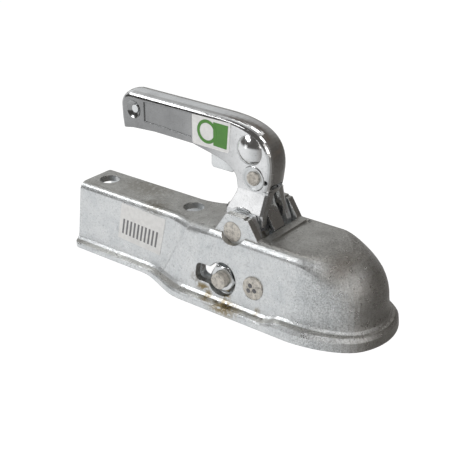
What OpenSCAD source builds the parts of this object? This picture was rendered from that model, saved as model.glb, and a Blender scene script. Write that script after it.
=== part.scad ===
// Trailer coupling head, 50 mm ball, pressed and galvanised steel.
// Millimetres. Origin: centre of the ball opening, in the plane of the rim's underside.
// X points forward to the dome, Y to the left of the trailer, Z up.

/* [Body shell] */
// Rear end of the body, behind the ball's axis
body_rear = 192; // [170:1:230]
// Height of the rear roof above the rim plane
roof_rear_h = 42.9; // [40:0.1:45]
// Height of the front roof above the rim plane
roof_front_h = 47.6; // [46:0.1:50]
// Thickness of the pressed sheet
shell_t = 4.2; // [3:0.1:5]
// Width across the rear walls at the rim plane
rear_wall_w = 42.4; // [38:0.2:48]
// Width across the front walls at the rim plane
front_wall_w = 63.6; // [61:0.2:68]
// Draft of the pressed walls, in degrees
wall_draft = 7.2; // [4:0.1:9]
// Outer bend radius along the rear roof
rear_bend_r = 5.8; // [4.6:0.1:8]
// Outer bend radius along the front roof
front_bend_r = 7; // [5.5:0.1:9]
// Place where the rear walls start to widen, behind the ball's axis
widen_x = 130; // [126:1:134]
// Length over which the walls widen
widen_len = 40; // [34:1:44]
// Forward lean of the widening for each millimetre of height
widen_lean = 0.42; // [0:0.02:0.6]
// Distance from the start of the widening to the start of the roof's rise
rise_lag = 15; // [4:1:18]
// Length over which the roof rises
rise_len = 23; // [16:1:24]

/* [Flange and rim] */
// Width across the flange at the rear
rear_flange_w = 52.6; // [50:0.2:60]
// Width across the flange beside the mechanism
mid_flange_w = 76; // [72:0.2:80]
// Outer radius of the rim round the ball opening
rim_r = 36; // [34:0.1:40]
// Height of the flange edge at the rear
rear_edge_h = 3.5; // [3:0.1:5]
// Height of the flange edge beside the mechanism
mid_edge_h = 4.9; // [4:0.1:6]
// Height of the rim edge
rim_edge_h = 8; // [6:0.1:9]
// Radius of the inside corner between flange and wall
flange_fillet_r = 4; // [2:0.5:5]

/* [Ball dome] */
// Diameter of the towing ball
ball_d = 50; // [50:0.1:50.8]
// Clearance between ball and socket
ball_play = 0.4; // [0.2:0.1:0.8]
// Height of the ball's centre above the rim plane
ball_h = 18.2; // [17:0.1:19.5]
// Outer radius of the dome at the ball's centre
dome_r = 29.8; // [29.2:0.1:31]

/* [Drawbar bolts] */
// Diameter of the two fixing holes
fix_hole_d = 13.5; // [12.5:0.1:14.5]
// Distance between the two fixing holes
fix_pitch = 72.9; // [60:0.1:80]
// Distance from the rear hole to the rear end
fix_inset = 11.8; // [10:0.1:20]

/* [Ears and roof slot] */
// Width across the outer faces of the ears
ears_w = 45.4; // [44.6:0.1:46.4]
// Thickness of the ears
ear_t = 4.6; // [4:0.1:4.8]
// Place of the handle pivot, behind the ball's axis
pivot_x = 59.6; // [58:0.1:61]
// Height of the handle pivot
pivot_h = 48.4; // [48:0.1:49.4]
// Height of the ears' top edges
ear_top_h = 59; // [57.5:0.1:60]
// Front end of the roof slot, behind the ball's axis
slot_front_x = 41; // [40:0.1:41.5]
// Rear end of the roof slot, behind the ball's axis
slot_rear_x = 74; // [73:0.1:80]
// Radius of the scallop pressed round the pivot
scallop_r = 9.2; // [8.6:0.1:10.5]
// Distance from the slot to the groove across the roof
groove_gap = 7.4; // [6:0.1:9]

/* [Side window] */
// Place of the cross bolt, behind the ball's axis
bolt_x = 62.6; // [61.5:0.1:63.5]
// Height of the cross bolt
bolt_h = 18.7; // [18.2:0.1:19.2]
// Diameter of the round end of the side window
window_d = 21; // [20:0.1:22]
// Height of the narrow end of the side window
window_slot_h = 11; // [10.4:0.1:12]
// Rear end of the side window, behind the ball's axis
window_rear_x = 82.1; // [78:0.1:86]

/* [Inner plates] */
// Thickness of the inner plates
plate_t = 3.8; // [3:0.1:4]
// Gap between the inner plates and the ears
plate_gap = 1.1; // [0.6:0.1:1.4]
// Distance between the outer faces of the inner plates beside the cross bolt
plate_low_w = 47.2; // [46.6:0.1:47.6]

/* [Pins and rivets] */
// Diameter of the handle pivot pin
pivot_d = 12.4; // [10:0.1:13]
// Diameter of the jaw rivet where it shows in the wall
jaw_rivet_d = 14; // [13:0.1:15]
// Diameter of the jaw rivet between the plates
jaw_shank_d = 12; // [10:0.1:12.6]
// Place of the jaw rivet, behind the ball's axis
jaw_x = 39.5; // [39:0.1:40]
// Height of the jaw rivet
jaw_h = 20.3; // [20:0.1:20.8]
// Diameter of the cross bolt
bolt_d = 10; // [9:0.1:10.2]
// Width across the flats of bolt head and nut
hex_af = 16; // [15:0.1:17]
// Height of the thin nut
nut_h = 5; // [4.5:0.1:6]
// Height of the bolt head
head_h = 6.4; // [5.6:0.1:7]
// Diameter of the cam pin
cam_pin_d = 8; // [7:0.1:8.4]
// Distance from the handle pivot to the cam pin
cam_arm = 14; // [13:0.1:14.6]
// Clearance of fixed pins in their holes
seat_gap = 0.02; // [0.01:0.01:0.05]
// Running clearance on the radius
run_gap = 0.08; // [0.04:0.01:0.1]

/* [Motion] */
// Angle through which the handle lifts
handle_lift = 35; // [25:1:35]
// Angle through which the clamp jaw opens
jaw_open = 15.5; // [12:0.5:15.5]
// Angle through which the safety catch is squeezed
catch_squeeze = 6; // [4:0.5:6]

/* [Clamp jaw] */
// Width across the cheeks of the jaw
jaw_w = 18.8; // [18:0.1:19]
// Thickness of the cheeks of the jaw
cheek_t = 3.5; // [3:0.1:4]
// Width of the lip under the ball
lip_w = 30; // [26:0.5:34]
// Clearance between the lip and the ball
lip_gap = 0.3; // [0.2:0.1:0.6]
// Clearance round the cam pin in its slot
cam_gap = 0.5; // [0.4:0.05:0.7]

/* [Handle] */
// Width of the handle channel
grip_w = 17; // [16:0.1:19]
// Thickness of the handle sheet
grip_t = 2.8; // [2:0.1:3.2]
// Height of the top of the grip
grip_top_h = 112.3; // [110:0.2:118]
// Depth of the grip from top to open edge
grip_depth = 22.4; // [20:0.2:25]
// Tip of the grip, behind the ball's axis
grip_tip_x = 160.2; // [150:0.2:170]
// Radius along the edges of the grip's back
grip_edge_r = 4; // [3:0.1:5]
// Rise of the crown of the grip's back over its edges
back_crown = 0.7; // [0.2:0.1:1.2]
// Front of the neck, behind the ball's axis
neck_front_x = 42; // [41.5:0.1:43]
// Thickness of the handle's arms
arm_t = 3; // [2.4:0.1:3.2]
// Width across the arms between the inner plates
arms_w = 25.6; // [25:0.1:25.8]

/* [Safety catch] */
// Width of the catch
catch_w = 10.6; // [9.6:0.1:10.8]
// Thickness of the catch sheet
catch_t = 2; // [1.6:0.1:2.2]
// Place of the catch rivet, behind the ball's axis
catch_x = 55.2; // [54:0.1:56]
// Height of the catch rivet
catch_h = 78.4; // [77:0.1:79.5]
// Diameter of the catch rivet
catch_rivet_d = 6; // [5:0.1:7]
// Rear end of the finger tab, behind the ball's axis
tab_rear_x = 88.6; // [84:0.2:94]
// Front end of the finger tab, behind the ball's axis
tab_front_x = 73; // [70:0.5:76]
// Lowest point of the finger tab
tab_low_h = 76.8; // [75:0.1:80]

/* [Springs] */
// Wire of the closing spring
spring_wire = 2.3; // [1.8:0.1:2.4]
// Turns of the closing spring
spring_turns = 3; // [3:1:3]
// Wire of the catch spring
catch_wire = 1.1; // [0.8:0.1:1.3]
// Turns of the catch spring
catch_turns = 4; // [4:1:4]

/* [Hidden] */
$fn = 64;
EPS = 0.01;
draft = tan(wall_draft);
nose_x = 12;                       // the box ends and the nose starts here, behind the ball's axis
ears_in = ears_w / 2 - ear_t;
plate_out = ears_in - plate_gap;
plate_in = plate_out - plate_t;
plate_low_out = plate_low_w / 2;
plate_low_in = plate_low_out - plate_t;
fix_rear_x = body_rear - fix_inset;
fix_front_x = fix_rear_x - fix_pitch;
socket_r = (ball_d + ball_play) / 2;
sleeve_r = bolt_d / 2 + 1.5;
pin_colour = "tan";
steel = "lightsteelblue";
zinc = "silver";

// Eases from 0 to 1 as t goes from 0 to 1
function ease(t) = let (s = min(max(t, 0), 1)) s * s * (3 - 2 * s);
// Turns the point [x, z] about the Y axis, by the right hand rule
function turn(p, a) = [p[0] * cos(a) + p[1] * sin(a), -p[0] * sin(a) + p[1] * cos(a)];
function mix(a, b, t) = a + (b - a) * t;

// Joins closed sections of equal and even length into one solid. The ends are closed by strips
// from each point j to its partner m - 1 - j. With zip, the last section is folded flat instead,
// so that its partners meet
module loft(sections, zip = false) {
    m = len(sections[0]);
    n = len(sections);
    function at(i, j) = i * m + (zip && i == n - 1 ? min(j, m - 1 - j) : j);
    sides = [for (i = [0:n - 2]) for (j = [0:m - 1]) let (k = (j + 1) % m)
        each [[at(i, j), at(i, k), at(i + 1, k)], [at(i, j), at(i + 1, k), at(i + 1, j)]]];
    first = [for (j = [0:m / 2 - 2]) [m - 1 - j, m - 2 - j, j + 1, j]];
    last = zip ? [] : [for (j = [0:m / 2 - 2]) [for (k = [j, j + 1, m - 2 - j, m - 1 - j]) (n - 1) * m + k]];
    polyhedron([for (s = sections) for (p = s) p], concat(first,
        [for (f = sides) if (f[0] != f[1] && f[1] != f[2] && f[2] != f[0]) f], last), convexity = 10);
}

// BODY SHELL

// Share of the widening that is reached at x, and of the rise of the roof
function widened(x) = ease((x + widen_x) / widen_len);
function risen(x) = ease((x + widen_x - rise_lag) / rise_len);
// Half width of the flange at x
function flange_half(x) = mix(rear_flange_w, mid_flange_w, widened(x)) / 2;
// Height of the flange edge at x
function edge_h(x) = mix(mix(rear_edge_h, mid_edge_h, widened(x)), rim_edge_h, ease((x + 30) / 12));
WALL_STEPS = 3;
BEND_STEPS = 7;
FILLET_STEPS = 3;

// The outer edge of the flange: upright at the bottom, turned in at the top
function edge_side(f, e) = let (c = (e - rear_edge_h) * 0.36 + 0.7)
    [[f, 0], [f, 1], [f - c * 0.25, e - c * 1.1], [f - c, e - 0.2]];

// One side of the box's section as [y, z] points, from the flange up to the end of the bend.
// w is the half width at the rim plane, h the roof, r the bend, f and e the flange
function box_side(w, h, r, f, e) =
    let (top = h - r, fr = flange_fillet_r, z0 = e + fr)
    concat(
        edge_side(f, e),
        [for (i = [0:FILLET_STEPS]) let (a = 90 * i / FILLET_STEPS)
            [w - z0 * draft + fr * (1 - sin(a)), e + fr * (1 - cos(a))]],
        [for (i = [1:WALL_STEPS]) let (z = mix(z0, top, i / WALL_STEPS)) [w - z * draft, z]],
        [for (i = [1:BEND_STEPS]) let (a = mix(wall_draft, 90, i / BEND_STEPS))
            [w - top * draft - r + r * cos(a), top + r * sin(a)]]);

// One side of the dome's section as [radius, z] points, with as many points as box_side
function dome_side(r, h, f, e) =
    let (fr = flange_fillet_r, z0 = e + fr, w = r + ball_h * draft, n = WALL_STEPS + BEND_STEPS)
    concat(
        edge_side(f, e),
        [for (i = [0:FILLET_STEPS]) let (a = 90 * i / FILLET_STEPS)
            [w - z0 * draft + fr * (1 - sin(a)), e + fr * (1 - cos(a))]],
        [for (i = [1:n]) let (a = 82 * (i - 1) / (n - 1))
            [r * pow(cos(a), 0.72), ball_h + (h - ball_h) * pow(sin(a), 1.14)]]);

// A whole section: right side up, left side down. side holds [x, y, z] points of the left side
function both(side) = concat([for (p = side) [p[0], -p[1], p[2]]],
    [for (i = [len(side) - 1:-1:0]) side[i]]);

// Section across the box at x, inset by the sheet's thickness
function box_section(x, lean, inset) =
    let (t = widened(x), w = mix(rear_wall_w, front_wall_w, t) / 2 - inset / cos(wall_draft),
        h = mix(roof_rear_h, roof_front_h, risen(x)) - inset,
        r = mix(rear_bend_r, front_bend_r, t) - inset)
    both([for (p = box_side(w, h, r, flange_half(x), edge_h(x))) [x + lean * p[1], p[0], p[1]]]);

// Section through the nose at the angle a from straight ahead
function nose_section(a, inset) =
    let (w = front_wall_w / 2 - inset / cos(wall_draft), h = roof_front_h - inset,
        box = box_side(w, h, front_bend_r - inset, mid_flange_w / 2, rim_edge_h),
        dome = dome_side(dome_r - inset, h, mix(rim_r, mid_flange_w / 2, sin(a) * sin(a)), rim_edge_h),
        share = ease((a - 35) / 55))
    both([for (i = [0:len(box) - 1])
        let (b = [-nose_x + box[i][0] * cos(a), box[i][0] * sin(a), box[i][1]],
            d = [dome[i][0] * cos(a), dome[i][0] * sin(a), dome[i][1]])
        mix(d, b, share)]);

NOSE_STEPS = 16;
WIDEN_STEPS = 9;
straight_x = -widen_x + widen_len + widen_lean * roof_front_h + 2;
function box_sections(rear, shift, inset, front) = concat(
    [box_section(-rear, 0, inset), box_section(-widen_x - 3 + shift, 0, inset)],
    [for (i = [0:WIDEN_STEPS]) let (s = box_section(-widen_x + widen_len * i / WIDEN_STEPS, widen_lean, inset))
        [for (p = s) [p[0] + shift, p[1], p[2]]]],
    [for (x = [straight_x + shift, -33, -29, -25, -21, -17, front]) box_section(x, 0, inset)]);
function shell_sections() = concat(box_sections(body_rear, 0, 0, -14),
    [for (i = [0:NOSE_STEPS]) nose_section(90 * (1 - i / NOSE_STEPS), 0)]);

// The hollow under the shell: the same sections without a flange, left open at the bottom
function no_flange(section) = let (n = len(section), k = 4 + FILLET_STEPS)
    let (foot = section[k], foot_l = section[n - 1 - k], drop = foot[2] + 1)
    concat([[foot[0], foot[1] - draft * drop, -1]],
        [for (i = [k:n - 1 - k]) section[i]],
        [[foot_l[0], foot_l[1] + draft * drop, -1]]);

module shell_outside() loft(shell_sections(), true);
module shell_inside() {
    loft([for (s = box_sections(body_rear + 1, 0.5, shell_t, -8)) no_flange(s)]);
    translate([0, 0, ball_h]) sphere(r = socket_r);
    translate([0, 0, -1]) cylinder(r = socket_r - 0.1, h = ball_h + 1);
}

// A pin along Y from y0 to y1 at the place x behind the axis and the height h
module cross(x, h, y0, y1, r) translate([-x, y1, h]) rotate([90, 0, 0]) cylinder(r = r, h = y1 - y0);

// Extrudes an outline drawn in x and z from y0 to y1
module slab(y0, y1) translate([0, y1, 0]) rotate([90, 0, 0]) linear_extrude(y1 - y0) children();

// A rectangle with round corners
module round_box(x0, x1, y0, y1, r) {
    translate([x0 + r, y0]) square([x1 - x0 - 2 * r, y1 - y0]);
    translate([x0, y0 + r]) square([x1 - x0, y1 - y0 - 2 * r]);
    for (x = [x0 + r, x1 - r], y = [y0 + r, y1 - r]) translate([x, y]) circle(r);
}

// Outline of an ear above the roof, with its root pressed down inside the shell
ear_r = 3;
module ear_outline() {
    difference() {
        polygon([[-slot_rear_x + 1.5, roof_front_h - 1], [-pivot_x - 4.6, ear_top_h],
            [-pivot_x + 10.6, ear_top_h], [-slot_front_x, roof_front_h - 1]]);
        translate([-pivot_x + 8.4, ear_top_h - 0.8]) square([4, 2]);
    }
    translate([-pivot_x + 1.3, 0]) round_box(-12.5, 12.5, 36.8, roof_front_h, ear_r);
}

module narrow_window() round_box(-window_rear_x, -bolt_x + window_slot_h / 2,
    bolt_h - window_slot_h / 2, bolt_h + window_slot_h / 2, 3.4);

module body_shell() color(steel) difference() {
    union() {
        difference() {
            shell_outside();
            shell_inside();
        }
        for (s = [-1, 1]) slab(s > 0 ? ears_in : -ears_w / 2, s > 0 ? ears_w / 2 : -ears_in)
            ear_outline();
    }
    // Scallops pressed into the bend round the pivot
    for (s = [-1, 1]) cross(pivot_x - 1.3, pivot_h + 2.3, s > 0 ? ears_w / 2 : -40,
        s > 0 ? 40 : -ears_w / 2, scallop_r);
    // Slot in the roof for the handle
    translate([0, 0, roof_front_h - 12]) linear_extrude(12 + EPS)
        round_box(-slot_rear_x, -slot_front_x, -ears_in, ears_in, 2.6);
    // Groove across the roof in front of the slot
    translate([-slot_front_x + groove_gap, 0, roof_front_h - 1.1]) linear_extrude(2)
        round_box(-1.9, 1.9, -17, 20, 1.89);
    for (x = [fix_rear_x, fix_front_x])
        translate([-x, 0, 20]) cylinder(d = fix_hole_d, h = 40);
    slab(-50, 50) narrow_window();
    cross(bolt_x, bolt_h, -50, 50, window_d / 2);
    cross(jaw_x, jaw_h, -50, 50, jaw_rivet_d / 2 + seat_gap);
    cross(pivot_x, pivot_h, -50, 50, pivot_d / 2 + seat_gap);
    // Rounded rear corners of the flange
    for (s = [-1, 1]) translate([-body_rear, s * rear_flange_w / 2, -1]) mirror([0, s > 0 ? 1 : 0, 0])
        difference() {
            translate([-1, -1, 0]) cube([6, 6, 8]);
            translate([5, 5, -1]) cylinder(r = 5, h = 10);
        }
}

// INNER PLATES

// The joggled section of a plate in y and z: wide apart below, close together between the ears
JOG_LOW = 28;
JOG_HIGH = 35.5;
module plate_section() polygon([
    [plate_low_out, 6], [plate_low_out, JOG_LOW], [plate_out, JOG_HIGH], [plate_out, ear_top_h + 1],
    [plate_in, ear_top_h + 1], [plate_in, JOG_HIGH + 0.8], [plate_low_in, JOG_LOW + 0.8], [plate_low_in, 6]]);
PLATE_LOW = 6.4;
module plate_outline() polygon([[-window_rear_x - 3, PLATE_LOW + 3], [-window_rear_x, PLATE_LOW],
    [-jaw_x + 6, PLATE_LOW], [-jaw_x + 10.5, PLATE_LOW + 6], [-jaw_x + 10.5, JOG_LOW], [-jaw_x + 6, JOG_LOW + 5],
    [-slot_front_x - 4, JOG_LOW + 7], [-slot_front_x - 4, 47.5], [-pivot_x + 10, ear_top_h - 0.8],
    [-pivot_x - 4.4, ear_top_h - 0.4], [-slot_rear_x + 3, 46], [-slot_rear_x + 3, JOG_LOW + 7],
    [-window_rear_x + 5, JOG_LOW + 3], [-window_rear_x, JOG_LOW - 2], [-window_rear_x - 3, JOG_LOW - 6]]);
module inner_plate() difference() {
    intersection() {
        translate([-100, 0, 0]) rotate([90, 0, 90]) linear_extrude(80) plate_section();
        slab(0, 40) plate_outline();
    }
    slab(0, 50) narrow_window();
    cross(jaw_x, jaw_h, 0, 50, jaw_shank_d / 2 + seat_gap);
    cross(pivot_x, pivot_h, 0, 50, pivot_d / 2 + seat_gap);
}
module inner_plate_left() color(steel) inner_plate();
module inner_plate_right() color(steel) mirror([0, 1, 0]) inner_plate();

// PINS, RIVETS, BOLT

module pivot_pin() color(pin_colour) cross(pivot_x, pivot_h, -ears_w / 2 - 0.2, ears_w / 2 + 0.2, pivot_d / 2);

jaw_wall_y = front_wall_w / 2 - jaw_h * draft;
module jaw_rivet() color(pin_colour) {
    cross(jaw_x, jaw_h, -plate_low_out - EPS, plate_low_out + EPS, jaw_shank_d / 2);
    for (s = [-1, 1]) cross(jaw_x, jaw_h, s > 0 ? plate_low_out : -jaw_wall_y - 0.5,
        s > 0 ? jaw_wall_y + 0.5 : -plate_low_out, jaw_rivet_d / 2);
}
module jaw_spacer() difference() {
    cross(jaw_x, jaw_h, jaw_w / 2 + 0.3, plate_low_in - 0.1, jaw_shank_d / 2 + 2.2);
    cross(jaw_x, jaw_h, 0, 50, jaw_shank_d / 2 + run_gap);
}
module jaw_spacer_left() color(zinc) jaw_spacer();
module jaw_spacer_right() color(zinc) mirror([0, 1, 0]) jaw_spacer();

// A hexagon with a corner up, its corners turned off at 30 degrees
module hex(y0, y1) intersection() {
    translate([-bolt_x, y1, bolt_h]) rotate([90, 0, 0]) rotate(90)
        cylinder(d = hex_af / cos(30), h = y1 - y0, $fn = 6);
    translate([-bolt_x, (y0 + y1) / 2, bolt_h]) rotate([90, 0, 0])
        let (h = (y1 - y0) / 2, c = hex_af * 0.04) rotate_extrude()
            polygon([[0, -h], [hex_af * 0.48, -h], [hex_af * 0.6, -h + c * 1.7],
                [hex_af * 0.6, h - c * 1.7], [hex_af * 0.48, h], [0, h]]);
}
bolt_end_y = plate_low_out + nut_h + 4.2;
module cross_bolt() color(pin_colour) {
    cross(bolt_x, bolt_h, -bolt_end_y, plate_low_out + 1, bolt_d / 2);
    hex(plate_low_out, plate_low_out + head_h);
}
module hex_nut() color(zinc) difference() {
    hex(-plate_low_out - nut_h, -plate_low_out);
    cross(bolt_x, bolt_h, -50, 0, bolt_d / 2 + seat_gap);
}
module bolt_sleeve() color(zinc) difference() {
    cross(bolt_x, bolt_h, -plate_low_in, plate_low_in, sleeve_r);
    cross(bolt_x, bolt_h, -50, 50, bolt_d / 2 + seat_gap);
}

// CLAMP JAW

cam_rest = [-pivot_x, pivot_h - cam_arm];
jaw_centre = [-jaw_x, jaw_h];
// Centre of the cam pin, seen from the jaw, when the handle has made the share s of its lift
function cam_at(s) =
    let (pin = [-pivot_x, pivot_h] + turn([0, -cam_arm], s * handle_lift))
    turn(pin - jaw_centre, -s * jaw_open);
CAM_STEPS = 8;
cam_slot_r = cam_pin_d / 2 + cam_gap;
cam_path = [for (i = [0:CAM_STEPS]) cam_at(i / CAM_STEPS)];
// Places of the pivot pin, seen from the jaw, over the jaw's travel
pin_path = [for (i = [0:CAM_STEPS]) turn([-pivot_x, pivot_h] - jaw_centre, -jaw_open * i / CAM_STEPS)];
// Unit vector square to the path at i
function path_side(path, i) = let (a = path[max(i - 1, 0)], b = path[min(i + 1, CAM_STEPS)], d = b - a)
    [-d[1], d[0]] / norm(d);
// The band swept by a circle of the radius r that follows the path
module band(path, r) translate(jaw_centre) {
    polygon(concat([for (i = [0:CAM_STEPS]) path[i] + path_side(path, i) * r],
        [for (i = [CAM_STEPS:-1:0]) path[i] - path_side(path, i) * r]));
    for (i = [0, CAM_STEPS]) translate(path[i]) circle(r);
}
module cheek_outline() difference() {
    union() {
        translate(jaw_centre) circle(9);
        band(cam_path, cam_slot_r + 2.7);
        polygon([[-jaw_x - 5, jaw_h + 7.4], cam_rest + [4, 2], cam_rest + [1.5, -7], [-jaw_x - 2, jaw_h - 8]]);
        polygon([[-jaw_x - 6, jaw_h - 6.7], [-jaw_x + 5.5, jaw_h + 7], [-29.5, 16], [-27, 9], [-23.5, 1.2],
            [-33, 1.2]]);
    }
    translate([-bolt_x, bolt_h]) circle(sleeve_r + 0.8);
    band(pin_path, pivot_d / 2 + 0.8);
}
lip_y = lip_w / 2;
module clamp_jaw() color(zinc) difference() {
    union() {
        for (s = [-1, 1]) slab(s > 0 ? jaw_w / 2 - cheek_t : -jaw_w / 2,
            s > 0 ? jaw_w / 2 : -jaw_w / 2 + cheek_t) cheek_outline();
        // The lip's block joins the cheeks and cups the ball from below
        slab(-lip_y, lip_y) polygon([[-33.5, 1.2], [-31.5, 12.5], [-28.5, 14], [-16, 10], [-13.5, 1.2]]);
    }
    translate([0, 0, ball_h]) sphere(r = ball_d / 2 + lip_gap);
    cross(jaw_x, jaw_h, -50, 50, jaw_shank_d / 2 + run_gap);
    slab(-50, 50) band(cam_path, cam_slot_r);
    // Corners of the lip turned off inside the round opening
    difference() {
        translate([-40, -30, 0]) cube([30, 60, 16]);
        translate([0, 0, -1]) cylinder(r = 33.4, h = 20);
        translate([-45, -jaw_w / 2, -1]) cube([20, jaw_w, 20]);
    }
}
module cam_pin() color(pin_colour) cross(pivot_x, pivot_h - cam_arm, -arms_w / 2 - 0.2, arms_w / 2 + 0.2, cam_pin_d / 2);

// HANDLE

// A cubic curve through a and d, pulled by b and c
function curve(a, b, c, d, n) = [for (i = [0:n]) let (t = i / n, u = 1 - t)
    u * u * u * a + 3 * u * u * t * b + 3 * u * t * t * c + t * t * t * d];
NECK_LOW = pivot_h + 21.6;
// Places on the handle: shares of the way back to the tip, and up to the top
function hx(s) = mix(-neck_front_x, -grip_tip_x, s);
function hz(s) = mix(NECK_LOW, grip_top_h, s);
grip_low_h = grip_top_h - grip_depth;
TIP_R = 10;
// The line along the back of the handle, from the foot of the tip round to the neck
back_line = concat(
    [[-grip_tip_x + 1.2, grip_low_h - 2.4], [-grip_tip_x + 0.3, grip_low_h + 4]],
    [for (i = [0:8]) let (a = 180 - 90 / 8 * i)
        [-grip_tip_x + TIP_R + TIP_R * cos(a), grip_top_h - TIP_R + TIP_R * sin(a)]],
    curve([hx(0.357), hz(0.984)], [hx(0.115), hz(0.985)], [-neck_front_x + 1.6, hz(0.8)],
        [-neck_front_x, hz(0.32)], 20),
    [[-neck_front_x - 1, hz(0.14)], [-neck_front_x - 2.4, NECK_LOW]]);
// The open edge, from the neck back to the tip
neck_rear = hx(0.207);
open_line = concat([[neck_rear, NECK_LOW]],
    curve([hx(0.214), hz(0.14)], [hx(0.242), hz(0.35)], [hx(0.331), hz(0.363)], [hx(0.493), hz(0.465)], 12),
    [[hx(0.75), grip_low_h + 0.3], [hx(0.9), grip_low_h - 0.7]]);
// Unit vector square to the back line at i, pointing into the handle
function inward(i) = let (n = len(back_line), a = back_line[max(i - 1, 0)],
    b = back_line[min(i + 1, n - 1)], d = b - a) [d[1], -d[0]] / norm(d);

// The pressed back: a shallow channel with round edges, swept along the back line
LIP_DEPTH = 6;
// Half of the section: up the side, round the edge, then over the crown to the middle
function back_half(w, r, rim) = let (top = grip_edge_r - r, edge = w - r + r * cos(72),
        low = back_crown + grip_edge_r - r * sin(72))
    concat([[-w, rim]], [for (a = [0:18:72]) [-w + r - r * cos(a), back_crown + grip_edge_r - r * sin(a)]],
        [for (s = [0.7, 0.4, 0.13]) [-edge * s, top + (low - top) * s * s]]);
function back_section(i) =
    let (o = back_line[i], v = inward(i), w = grip_w / 2, t = grip_t,
        out = back_half(w, grip_edge_r, LIP_DEPTH), in = back_half(w - t, grip_edge_r - t, LIP_DEPTH), n = len(out),
        ring = concat(out, [for (k = [n - 1:-1:0]) [-out[k][0], out[k][1]]], [for (p = in) [-p[0], p[1]]],
            [for (k = [n - 1:-1:0]) in[k]]))
    [for (p = ring) [o[0] + v[0] * p[1], p[0], o[1] + v[1] * p[1]]];
module side_outline() polygon(concat(
    [for (i = [0:len(back_line) - 1]) back_line[i] + inward(i) * (LIP_DEPTH - 0.8)], open_line));

// The splayed leg: an L section whose outer face moves out from the grip to the arms
LEG_LOW = pivot_h + 2;
LEG_STEPS = 8;
FLARE = (NECK_LOW - LEG_LOW) * 5 / LEG_STEPS;
function leg_row(z) =
    let (s = min(1, max(0, (NECK_LOW - z) / FLARE)), y = mix(grip_w, arms_w, s) / 2, t = mix(grip_t, arm_t, s),
        down = (NECK_LOW - z) / (NECK_LOW - LEG_LOW),
        front = mix(-neck_front_x - 2.4, -neck_front_x - 3.4, down), rear = mix(neck_rear, neck_rear - 5, ease(down * 1.3)),
        lip = mix(5.2, 3.1, down))
    [[rear, y, z], [front - 2.4, y, z], [front - 0.7, y - 0.8, z], [front, y - 2.6, z], [front, y - lip - 1, z],
        [front - t, y - lip - 1, z], [front - t, y - t, z], [rear, y - t, z]];
module leg() loft(concat([for (i = [LEG_STEPS:-1:0]) leg_row(mix(NECK_LOW, LEG_LOW, i / LEG_STEPS))],
    [[for (p = leg_row(NECK_LOW)) [p[0], p[1], NECK_LOW + 1.5]]]));
module arm_outline() difference() {
    union() {
        translate([-pivot_x, pivot_h]) circle(11.6);
        translate([-pivot_x, pivot_h - cam_arm]) circle(6.6);
        polygon([[neck_rear - 5, LEG_LOW + 2], [-pivot_x - 11.6, pivot_h], [-pivot_x - 6.6, pivot_h - cam_arm],
            [-pivot_x + 6.6, pivot_h - cam_arm], [-pivot_x + 11.6, pivot_h], [-neck_front_x - 6, LEG_LOW + 2]]);
    }
    translate([-pivot_x, pivot_h]) circle(pivot_d / 2 + run_gap);
    translate([-pivot_x, pivot_h - cam_arm]) circle(cam_pin_d / 2 + seat_gap);
}

// The round boss pressed out of the side at the bend, and the dimples pressed in at the rivets
bend_boss = [hx(0.138), hz(0.588)];
tip_dimple = [hx(0.894), hz(0.738)];
// Radius of the ball that meets a face in a circle of the radius r and stands d out of it
function ball_of(r, d) = (r * r + d * d) / (2 * d);
module boss_ball(p, r, d, skin) let (b = ball_of(r, d)) intersection() {
    translate([p[0], grip_w / 2 + d - b, p[1]]) sphere(r = b - skin);
    cross(-p[0], p[1], grip_w / 2 - 0.2 - skin, grip_w / 2 + d + 1, r + 1);
}
module dimple_bump(p, r, d) let (b = ball_of(r, d)) intersection() {
    translate([p[0], grip_w / 2 + b - d, p[1]]) sphere(r = b + grip_t);
    cross(-p[0], p[1], grip_w / 2 - grip_t - d, grip_w / 2 - 0.1, r + 1.6);
}
module dimple_hollow(p, r, d) let (b = ball_of(r, d))
    translate([p[0], grip_w / 2 + b - d, p[1]]) sphere(r = b);

module half_handle() {
    slab(grip_w / 2 - grip_t, grip_w / 2) side_outline();
    leg();
    slab(arms_w / 2 - arm_t, arms_w / 2) arm_outline();
    dimple_bump(tip_dimple, 5.8, 2.2);
    boss_ball(bend_boss, BOSS_R, BOSS_OUT, 0);
}
BOSS_R = 9;
BOSS_OUT = 3.8;
TIP_RIVET_R = 2.6;
module half_cuts() {
    dimple_hollow(tip_dimple, 5.8, 2.2);
    dimple_hollow([-catch_x, catch_h - 1.6], 6, 1.1);
    // The boss is hollow behind
    let (b = ball_of(BOSS_R, BOSS_OUT)) intersection() {
        translate([bend_boss[0], grip_w / 2 + BOSS_OUT - b, bend_boss[1]]) sphere(r = b - grip_t);
        cross(-bend_boss[0], bend_boss[1], 3, grip_w / 2 + BOSS_OUT, BOSS_R);
    }
    // Shallow panel pressed into the side of the grip
    slab(grip_w / 2 - 0.7, grip_w) polygon([[hx(0.822), hz(0.592)], [hx(0.822), hz(0.887)],
        [hx(0.493), hz(0.9)], [hx(0.459), hz(0.547)]]);
    cross(catch_x, catch_h, 0, 50, catch_rivet_d / 2 + seat_gap);
    cross(-tip_dimple[0], tip_dimple[1], 0, 50, TIP_RIVET_R + seat_gap);
    cross(neck_front_x + 4.9, hz(0.178), 0, 50, 1.4);
    cross(pivot_x, pivot_h, 0, 50, pivot_d / 2 + run_gap);
    cross(pivot_x, pivot_h - cam_arm, 0, 50, cam_pin_d / 2 + seat_gap);
}
module handle_shell() color(zinc) difference() {
    union() {
        loft([for (i = [0:len(back_line) - 1]) back_section(i)]);
        half_handle();
        mirror([0, 1, 0]) half_handle();
    }
    half_cuts();
    mirror([0, 1, 0]) half_cuts();
    // Slit across the web above the legs
    translate([-neck_front_x - 5, 0, hz(0.103)]) rotate([0, 90, 0]) linear_extrude(8)
        round_box(-1.4, 1.4, -6.4, 6.4, 1.3);
}

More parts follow.
